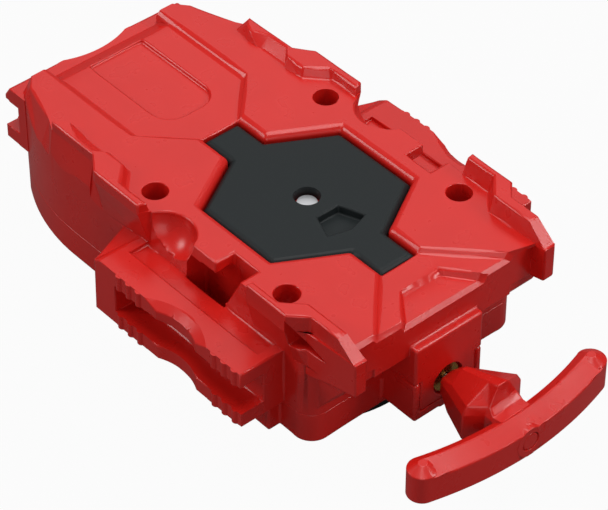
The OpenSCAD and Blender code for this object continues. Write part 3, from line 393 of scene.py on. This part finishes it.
def finish_for(slot):
    """Material of a record slot, made once."""
    colours = bpy.context.scene.launcher_colours
    sizes = bpy.context.scene.launcher_sizes
    makers = {
        "red_abs": ("moulded_red_abs", lambda: moulded_red_abs(colours)),
        "charcoal_abs": ("textured_charcoal_abs", lambda: textured_charcoal_abs(colours)),
        "zinc_steel": ("plated_zinc", lambda: turned_metal("plated_zinc", "#b9bcc0", 0.3, 0.45, 0.5)),
        "ground_steel": ("ground_steel", lambda: turned_metal("ground_steel", "#d2d4d6", 0.18, 0.3, 0.3)),
        "sintered_bronze": (
            "sintered_bronze", lambda: turned_metal("sintered_bronze", "#9c7a48", 0.45, 0.6, 0.4)),
        "brass": ("rolled_brass", lambda: turned_metal("rolled_brass", "#d0a456", 0.2, 0.32, 0.4)),
        "spring_steel": ("blued_steel", lambda: turned_metal("blued_steel", "#5a6574", 0.28, 0.42, 0.4)),
        "acetal": ("moulded_acetal", lambda: moulded_acetal(colours)),
        "cord": ("braided_nylon", lambda: braided_nylon(colours, sizes.cord_strand)),
    }
    name, make = makers[slot]
    return bpy.data.materials.get(name) or make()


def object_from(bm, name):
    """Linked object with the bmesh's shape."""
    mesh = bpy.data.meshes.new(name)
    bm.to_mesh(mesh)
    bm.free()
    made = bpy.data.objects.new(name, mesh)
    bpy.context.scene.collection.objects.link(made)
    return made


def shade(piece, degrees):
    """Smooth shading with edges kept sharp past an angle."""
    piece.data.shade_smooth()
    piece.data.set_sharp_from_angle(angle=math.radians(degrees))


def dress(piece, node_name):
    """Gives a piece the finish of the node's slot, and hides the node that it replaces."""
    piece.data.materials.clear()
    piece.data.materials.append(finish_for(NODE_SLOT[node_name]))
    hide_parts(node_name)


def edge_gap(edge, other):
    """Least distance between two edges, taken at their ends and middles."""
    least = math.inf
    for one, two in ((edge, other), (other, edge)):
        a, b = (vert.co for vert in two.verts)
        for point in (one.verts[0].co, one.verts[1].co, (one.verts[0].co + one.verts[1].co) / 2):
            near, share = intersect_point_line(point, a, b)
            near = a if share < 0 else b if share > 1 else near
            least = min(least, (point - near).length)
    return least


def edge_rooms(bm, sharp):
    """Largest rounding that each sharp edge has room for on the faces beside it."""
    rooms = {edge: math.inf for edge in sharp}
    for face in bm.faces:
        rounded = [edge for edge in face.edges if edge in rooms]
        for loop in face.loops:
            one, two = loop.link_loop_prev.edge, loop.edge
            corner = loop.calc_angle() if loop.is_convex else math.pi
            for edge, other in ((one, two), (two, one)):
                if edge not in rooms or corner > WIDE_CORNER:
                    continue
                slide = math.tan(corner / 2) if other in rooms else math.sin(corner)
                rooms[edge] = min(rooms[edge], other.calc_length() * slide, edge.calc_length() * slide)
        for k, edge in enumerate(rounded):
            for other in rounded[k + 1:]:
                if not set(edge.verts) & set(other.verts):
                    gap = edge_gap(edge, other)
                    rooms[edge] = min(rooms[edge], gap)
                    rooms[other] = min(rooms[other], gap)
    return rooms


def misfits(piece, solid, radius):
    """Places where the rounding has folded over or left the solid's surface."""
    shown = piece.evaluated_get(bpy.context.evaluated_depsgraph_get())
    mesh = shown.to_mesh()
    bad = []
    for face in mesh.polygons:
        _, normal, _, away = solid.find_nearest(face.center)
        if away > radius or normal.dot(face.normal) < FOLD_COSINE:
            bad.append(face.center.copy())
    for vert in mesh.vertices:
        if solid.find_nearest(vert.co)[3] > STRAY_SHARE * radius:
            bad.append(vert.co.copy())
    shown.to_mesh_clear()
    return bad


def keep_sound(piece, solid, radius):
    """Rounds edges less, or leaves them sharp, where their rounding would spoil the surface."""
    mesh = piece.data
    weights = mesh.attributes["bevel_weight_edge"].data
    for tries in range(MEND_TRIES):
        bad = misfits(piece, solid, radius)
        if not bad:
            return
        near = KDTree(len(bad))
        for k, point in enumerate(bad):
            near.insert(point, k)
        near.balance()
        # Later tries look further round each bad spot
        reach = radius * max(FIRST_REACH, tries - REACH_LAG)
        kept_share = 0.5 if tries < HALVING_TRIES else 0
        for edge in mesh.edges:
            if weights[edge.index].value > 0:
                a, b = (mesh.vertices[k].co for k in edge.vertices)
                steps = 2 + int((b - a).length / radius)
                if any(near.find(a.lerp(b, k / steps))[2] < reach for k in range(steps + 1)):
                    weights[edge.index].value *= kept_share
        mesh.update()
        piece.update_tag()
        bpy.context.view_layer.update()


def sharp_edges(bm):
    """Edges where two faces meet at a clear angle."""
    return [edge for edge in bm.edges if edge.is_manifold and edge.calc_face_angle(0) > SHARP_ANGLE]


def cut_long(bm, step):
    """Splits long sharp edges, so that a tight spot spoils only the rounding near it."""
    for edge in sharp_edges(bm):
        for _ in range(int(edge.calc_length() / step)):
            share = step / edge.calc_length()
            other = bmesh.utils.edge_split(edge, edge.verts[0], share)[0]
            edge = max(edge, other, key=lambda part: part.calc_length())


def taper(sharp, weight):
    """Lets the rounding change only little by little along an edge."""
    chained = set(sharp)
    for _ in range(TAPER_PASSES):
        for edge in sharp:
            for vert in edge.verts:
                others = [other for other in vert.link_edges if other in chained and other is not edge]
                if len(others) == 1:
                    edge[weight] = min(edge[weight], others[0][weight] + TAPER_SHARE)


def joined(bm):
    """Merges a mesh's points and joins its coplanar triangles."""
    bmesh.ops.remove_doubles(bm, verts=bm.verts[:], dist=MERGE_DISTANCE)
    bmesh.ops.dissolve_limit(bm, angle_limit=FLAT_ANGLE, verts=bm.verts[:], edges=bm.edges[:])
    return bm


def cut_waist(bm, sizes):
    """Cuts a round waist into the top edge of the cover's back rail."""
    low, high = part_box("upper_cover")
    slot_z = MOUNTS["back_rail"].z
    cutter = bmesh.new()
    bmesh.ops.create_cone(
        cutter, cap_ends=True, segments=WAIST_SIDES, radius1=sizes.waist_radius, radius2=sizes.waist_radius,
        depth=high.z - slot_z,
        matrix=Matrix.Translation(
            (low.x + sizes.waist_depth - sizes.waist_radius, 0, (slot_z + high.z) / 2)),
    )
    tool = object_from(cutter, "waist_cutter")
    piece = object_from(bm, "cover_blank")
    cut = piece.modifiers.new("waist", "BOOLEAN")
    cut.object = tool
    cut.solver = "EXACT"
    shown = piece.evaluated_get(bpy.context.evaluated_depsgraph_get())
    bm = bmesh.new()
    bm.from_mesh(shown.to_mesh())
    shown.to_mesh_clear()
    for spare in (piece, tool):
        bpy.data.meshes.remove(spare.data)
    return joined(bm)


def deepen_groove(bm, sizes):
    """Lowers the floor of the groove behind the plate."""
    floor_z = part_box("top_plate")[1].z - GROOVE_DEPTH
    for vert in bm.verts:
        inside = vert.co.x < GROOVE_FRONT and abs(vert.co.y) < GROOVE_SIDE
        if inside and abs(vert.co.z - floor_z) < NEAR:
            vert.co.z -= sizes.groove_drop


def chamfer_brow(bm, sizes):
    """Chamfers the brow's stepped front edge, and marks the chamfer's edges to stay crisp."""
    brow = [
        edge for edge in bm.edges
        if all(abs(vert.co.x - BROW_X) < NEAR and vert.co.z > BROW_LOW for vert in edge.verts)
        and any(face.normal.x > FACING for face in edge.link_faces)
    ]
    cut = bmesh.ops.bevel(
        bm, geom=brow, offset=sizes.brow_chamfer, offset_type="OFFSET", affect="EDGES", segments=1,
        profile=0.5, material=-1, clamp_overlap=False,
    )
    crisp = bm.edges.layers.int.new("crisp")
    for face in cut["faces"]:
        for edge in face.edges:
            edge[crisp] = 1


def cover_details(bm):
    """Cover with the back rail's waist, the deeper groove and the brow's chamfer."""
    sizes = bpy.context.scene.launcher_sizes
    bm = cut_waist(bm, sizes)
    deepen_groove(bm, sizes)
    chamfer_brow(bm, sizes)
    return bm


def soft_edged(node_name, radius, step, prepare=None):
    """Copy of a solid with its coplanar triangles joined and its sharp edges rounded."""
    bm = bmesh.new()
    bm.from_mesh(NODES[node_name].data)
    joined(bm)
    if prepare:
        bm = prepare(bm)
    weight = bm.edges.layers.float.new("bevel_weight_edge")
    cut_long(bm, step)
    sharp = sharp_edges(bm)
    for edge, room in edge_rooms(bm, sharp).items():
        share = min(1.0, ROOM_SHARE * room / radius)
        edge[weight] = share if share > LEAST_SHARE else 0
    crisp = bm.edges.layers.int.get("crisp")
    for edge in sharp:
        if crisp and edge[crisp]:
            edge[weight] = 0
        if all(abs(vert.co.z - SEAM_Z) < 2 * NEAR for vert in edge.verts):
            edge[weight] = min(edge[weight], SEAM_SHARE)
    taper(sharp, weight)
    solid = BVHTree.FromBMesh(bm)
    piece = object_from(bm, node_name + "_moulded")
    rounding = piece.modifiers.new("rounded_edges", "BEVEL")
    rounding.width = radius
    rounding.segments = bpy.context.scene.launcher_sizes.edge_steps
    rounding.limit_method = "WEIGHT"
    rounding.use_clamp_overlap = False
    rounding.profile = 0.5
    rounding.material = -1
    shade(piece, PIECE_SHADE)
    keep_sound(piece, solid, radius)
    normals = piece.modifiers.new("flat_faces", "WEIGHTED_NORMAL")
    normals.weight = 100
    normals.keep_sharp = True
    dress(piece, node_name)
    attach(piece, NODE_BODY[node_name])
    return piece


def swept(path, radius, sides):
    """Round tube through a list of points."""
    bm = bmesh.new()
    last = None
    for k, point in enumerate(path):
        along = path[min(k + 1, len(path) - 1)] - path[max(k - 1, 0)]
        turn = along.to_track_quat("Z", "Y").to_matrix().to_4x4()
        ring = bmesh.ops.create_circle(
            bm, segments=sides, radius=radius, matrix=Matrix.Translation(point) @ turn)["verts"]
        edges = list({edge for vert in ring for edge in vert.link_edges if edge.other_vert(vert) in ring})
        if last:
            bmesh.ops.bridge_loops(bm, edges=last + edges)
        last = edges
    bmesh.ops.holes_fill(bm, edges=bm.edges[:], sides=sides)
    bmesh.ops.recalc_face_normals(bm, faces=bm.faces[:])
    return bm


class LauncherOperator:
    """Shared settings of the operators that build the launcher."""

    bl_options = {"REGISTER", "UNDO"}


class LAUNCHER_OT_shells(LauncherOperator, bpy.types.Operator):
    """Finish the cover's details and round the moulded edges of the red pieces"""

    bl_idname = "launcher.shells"
    bl_label = "Red shells"

    def execute(self, context):
        sizes = context.scene.launcher_sizes
        soft_edged("upper_cover", sizes.shell_edge, sizes.edge_part, cover_details)
        soft_edged("lower_housing", sizes.shell_edge, sizes.edge_part)
        for name in ("pull_handle", "handle_plug"):
            soft_edged(name, sizes.handle_edge, sizes.edge_part)
        return {"FINISHED"}


class LAUNCHER_OT_dark_pieces(LauncherOperator, bpy.types.Operator):
    """Round the edges of the top plate, the guard ring and the claw hub"""

    bl_idname = "launcher.dark_pieces"
    bl_label = "Plate, ring and hub"

    def execute(self, context):
        sizes = context.scene.launcher_sizes
        for name in ("top_plate", "guard_ring", "launch_hub"):
            soft_edged(name, sizes.plate_edge, sizes.edge_part)
        return {"FINISHED"}


class LAUNCHER_OT_works(LauncherOperator, bpy.types.Operator):
    """Round the edges of the screws, shafts, gears, reel and small metal pieces"""

    bl_idname = "launcher.works"
    bl_label = "Works and fasteners"

    def execute(self, context):
        sizes = context.scene.launcher_sizes
        for name in (
            "case_screws", "guard_screws", "hub_shaft", "hub_bush", "thrust_washer", "hub_pinion",
            "shaft_clip", "idler_gear", "idler_pin", "string_reel", "reel_gear", "reel_axle",
            "rewind_spring", "string_eyelet",
        ):
            soft_edged(name, sizes.metal_edge, sizes.edge_part)
        return {"FINISHED"}


class LAUNCHER_OT_string(LauncherOperator, bpy.types.Operator):
    """Wind the string on the drum and lead it through the eyelet into the handle's knot"""

    bl_idname = "launcher.string"
    bl_label = "String"

    def execute(self, context):
        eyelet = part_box("string_eyelet")
        axle = (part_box("reel_axle")[0].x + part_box("reel_axle")[1].x) / 2
        radius = CORD / 2
        low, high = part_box("string_winding")
        drum = (high.x - low.x) / 2 - radius
        leave = math.pi / 2 - math.asin(drum / (eyelet[0].x - axle))
        self.winding(axle, drum, leave, low.z + radius, high.z - radius)
        self.lead(axle, drum, leave, high.z - radius, (eyelet[0].z + eyelet[1].z) / 2)
        self.knot()
        return {"FINISHED"}

    def winding(self, axle, drum, leave, low, high):
        """Turns on the drum, wound down from where the string leaves it."""
        bm = bmesh.new()
        bmesh.ops.create_circle(
            bm, segments=CORD_SIDES, radius=CORD / 2,
            matrix=Matrix.Translation((axle, 0, 0)) @ Matrix.Rotation(leave, 4, "Z")
            @ Matrix.Translation((drum, 0, high)) @ Matrix.Rotation(math.pi / 2, 4, "X"),
        )
        steps = round(DRUM_TURNS * TURN_STEPS)
        bmesh.ops.spin(
            bm, geom=bm.verts[:] + bm.edges[:], cent=(axle, 0, 0), axis=(0, 0, 1),
            dvec=(0, 0, (low - high) / steps), angle=DRUM_TURNS * math.tau + CORD / drum, steps=steps,
            use_merge=False,
        )
        bmesh.ops.holes_fill(bm, edges=bm.edges[:], sides=CORD_SIDES)
        bmesh.ops.recalc_face_normals(bm, faces=bm.faces[:])
        piece = object_from(bm, "string_winding_braid")
        shade(piece, STRING_SHADE)
        dress(piece, "string_winding")
        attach(piece, NODE_BODY["string_winding"])

    def lead(self, axle, drum, leave, high, eye_z):
        """String off the drum through the eyelet, on past the nozzle and the stalk to the end of the lead.
        """
        eye_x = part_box("string_eyelet")[0].x
        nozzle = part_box("lower_housing")[1].x
        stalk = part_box("pull_handle")[0].x
        off = Vector((axle + drum * math.cos(leave), drum * math.sin(leave), high))
        run = Vector((math.sin(leave), -math.cos(leave), 0))
        ends = [Vector((x, 0, eye_z)) for x in (
            eye_x - 2 * CORD, eye_x + 2 * CORD, nozzle, stalk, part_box("string_lead")[1].x)]
        # The lead starts just past the end of the winding
        path = [off + run * CORD * 0.3, off + run * 2 * CORD, *ends]
        piece = object_from(swept(path, CORD / 2, CORD_SIDES), "string_lead_braid")
        shade(piece, STRING_SHADE)
        dress(piece, "string_lead")
        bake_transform(piece)

    def knot(self):
        """Overhand knot drawn tight round a core."""
        low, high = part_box("string_knot")
        middle = (low + high) / 2
        size = (high.x - low.x) / 2
        steps = 48
        turns = [k * math.tau / steps for k in range(steps)]
        path = [middle + Vector((
            math.sin(3 * t), math.sin(t) + 2 * math.sin(2 * t), math.cos(t) - 2 * math.cos(2 * t),
        )) * size * 0.28 for t in turns + turns[:1]]
        bm = swept(path, size * 0.36, 8)
        bmesh.ops.create_icosphere(
            bm, subdivisions=3, radius=size, matrix=Matrix.Translation(middle))
        piece = object_from(bm, "string_knot_braid")
        shade(piece, STRING_SHADE)
        dress(piece, "string_knot")
        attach(piece, NODE_BODY["string_knot"])


class LAUNCHER_OT_stage(LauncherOperator, bpy.types.Operator):
    """Set the floor, the studio light and the camera"""

    bl_idname = "launcher.stage"
    bl_label = "Studio"

    def execute(self, context):
        scene = context.scene
        sizes = scene.launcher_sizes
        bm = bmesh.new()
        bmesh.ops.create_grid(
            bm, x_segments=1, y_segments=1, size=sizes.floor_size / 2,
            matrix=Matrix.Translation((0, 0, CAD_BOX[0].z)),
        )
        floor = object_from(bm, "studio_floor")
        floor.data.materials.append(studio_floor(scene.launcher_colours))
        self.light(scene)
        self.camera(scene, sizes)
        scene.view_settings.view_transform = "Standard"
        return {"FINISHED"}

    def light(self, scene):
        """Pale world light and six soft boxes, four of them placed for the edges' highlights."""
        world = bpy.data.worlds.new("studio_world")
        world.use_nodes = True
        world.node_tree.nodes["Background"].inputs["Color"].default_value = (1, 1, 1, 1)
        world.node_tree.nodes["Background"].inputs["Strength"].default_value = 0.15
        scene.world = world
        boxes = (
            ("overhead_box", (0.0, 0.0, 1.0), 0.7, 5.8),
            ("back_box", (-0.57, 0.5, 0.65), 0.5, 0.6),
            ("right_box", (0.63, 0.5, 0.55), 0.3, 2.4),
            ("left_box", (-0.57, -0.63, 0.48), 0.35, 2.2),
            ("front_box", (0.75, -0.65, 0.35), 0.6, 1.6),
            ("side_box", (0.03, 0.63, 0.8), 0.16, 0.8),
        )
        for name, place, side, watts in boxes:
            lamp = bpy.data.lights.new(name, "AREA")
            lamp.size = side
            lamp.energy = watts
            made = bpy.data.objects.new(name, lamp)
            made.location = place
            made.rotation_euler = (-Vector(place)).to_track_quat("-Z", "Y").to_euler()
            scene.collection.objects.link(made)

    def camera(self, scene, sizes):
        """Camera at the photograph's angle, aimed so that its frame matches."""
        turn, rise = sizes.camera_azimuth, sizes.camera_elevation
        back = Vector((
            math.sin(turn) * math.cos(rise), -math.cos(turn) * math.cos(rise), math.sin(rise)))
        right = Vector((math.cos(turn), math.sin(turn), 0))
        up = back.cross(right)
        # Pixels of the image from its middle to the middle of the top plate
        plate_offset = (3.1, 59.3)
        plate_top = Vector((0, 0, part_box("top_plate")[1].z))
        spot = plate_top + back * sizes.camera_distance
        pixel = sizes.camera_distance / sizes.focal_pixels
        aim = plate_top - (right * plate_offset[0] + up * plate_offset[1]) * pixel
        data = bpy.data.cameras.new("photo_camera")
        data.sensor_width = 36
        data.lens = sizes.focal_pixels * data.sensor_width / IMAGE_SIZE[0]
        data.clip_start, data.clip_end = 0.01, 20
        made = bpy.data.objects.new("photo_camera", data)
        made.location = spot
        made.rotation_euler = (aim - spot).to_track_quat("-Z", "Y").to_euler()
        scene.collection.objects.link(made)
        scene.camera = made


class LAUNCHER_PT_build(bpy.types.Panel):
    """Builds the launcher piece by piece"""

    bl_idname = "LAUNCHER_PT_build"
    bl_label = "Top launcher"
    bl_space_type = "VIEW_3D"
    bl_region_type = "UI"
    bl_category = "Launcher"

    def draw(self, context):
        layout = self.layout
        for group in (context.scene.launcher_colours, context.scene.launcher_sizes):
            for key in group.__annotations__:
                layout.prop(group, key)
        for operator in OPERATORS:
            layout.operator(operator.bl_idname)


OPERATORS = (
    LAUNCHER_OT_stage, LAUNCHER_OT_shells, LAUNCHER_OT_dark_pieces, LAUNCHER_OT_works, LAUNCHER_OT_string,
)
CLASSES = (LauncherColours, LauncherSizes, *OPERATORS, LAUNCHER_PT_build)


def register():
    for cls in CLASSES:
        bpy.utils.register_class(cls)
    bpy.types.Scene.launcher_colours = PointerProperty(type=LauncherColours)
    bpy.types.Scene.launcher_sizes = PointerProperty(type=LauncherSizes)


def unregister():
    del bpy.types.Scene.launcher_sizes
    del bpy.types.Scene.launcher_colours
    for cls in reversed(CLASSES):
        bpy.utils.unregister_class(cls)


def main():
    register()
    bpy.ops.launcher.stage()
    bpy.ops.launcher.shells()
    bpy.ops.launcher.dark_pieces()
    bpy.ops.launcher.works()
    bpy.ops.launcher.string()


if __name__ == "__main__":
    main()
